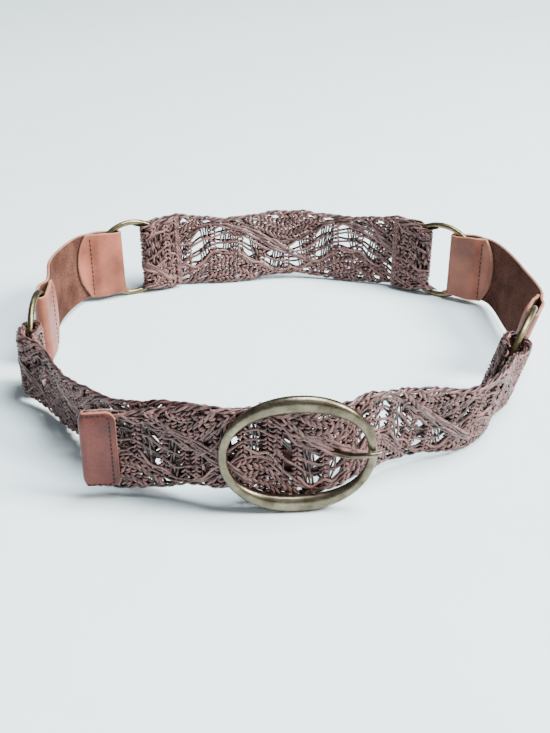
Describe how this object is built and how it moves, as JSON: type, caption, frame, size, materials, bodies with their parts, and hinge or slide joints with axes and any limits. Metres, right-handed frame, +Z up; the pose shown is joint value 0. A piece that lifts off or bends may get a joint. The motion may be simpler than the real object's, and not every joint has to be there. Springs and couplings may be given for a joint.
{
  "type": "braided leather belt",
  "caption": "Fastened belt standing on its edge as a loop: openwork braided leather straps and smooth leather links joined by round rings, with an oval prong buckle.",
  "frame": {"origin": "under the middle of the belt's box, on the surface that it stands on", "axes": "+Z up, across the straps' width; -Y to the front, where the buckle is; +X to the right of a viewer who faces the buckle"},
  "size_m": [0.3196, 0.309, 0.0689],
  "materials": {
    "braid": "soft matt braided leather cord",
    "link": "smooth leather with a suede inside",
    "tip_leather": "smooth stitched leather",
    "chape_leather": "smooth leather",
    "ring_brass": "antique brass, brushed",
    "buckle_brass": "antique brass, brushed",
    "prong_brass": "antique brass, polished"
  },
  "bodies": {
    "root": {"back_braid": "braid", "left_braid": "braid", "right_braid": "braid", "left_link": "link", "right_link": "link", "back_left_ring": "ring_brass", "back_right_ring": "ring_brass", "left_ring": "ring_brass", "right_ring": "ring_brass", "tail_tip": "tip_leather", "buckle_frame": "buckle_brass", "buckle_prong": "prong_brass", "buckle_chape": "chape_leather"}
  },
  "joints": []
}
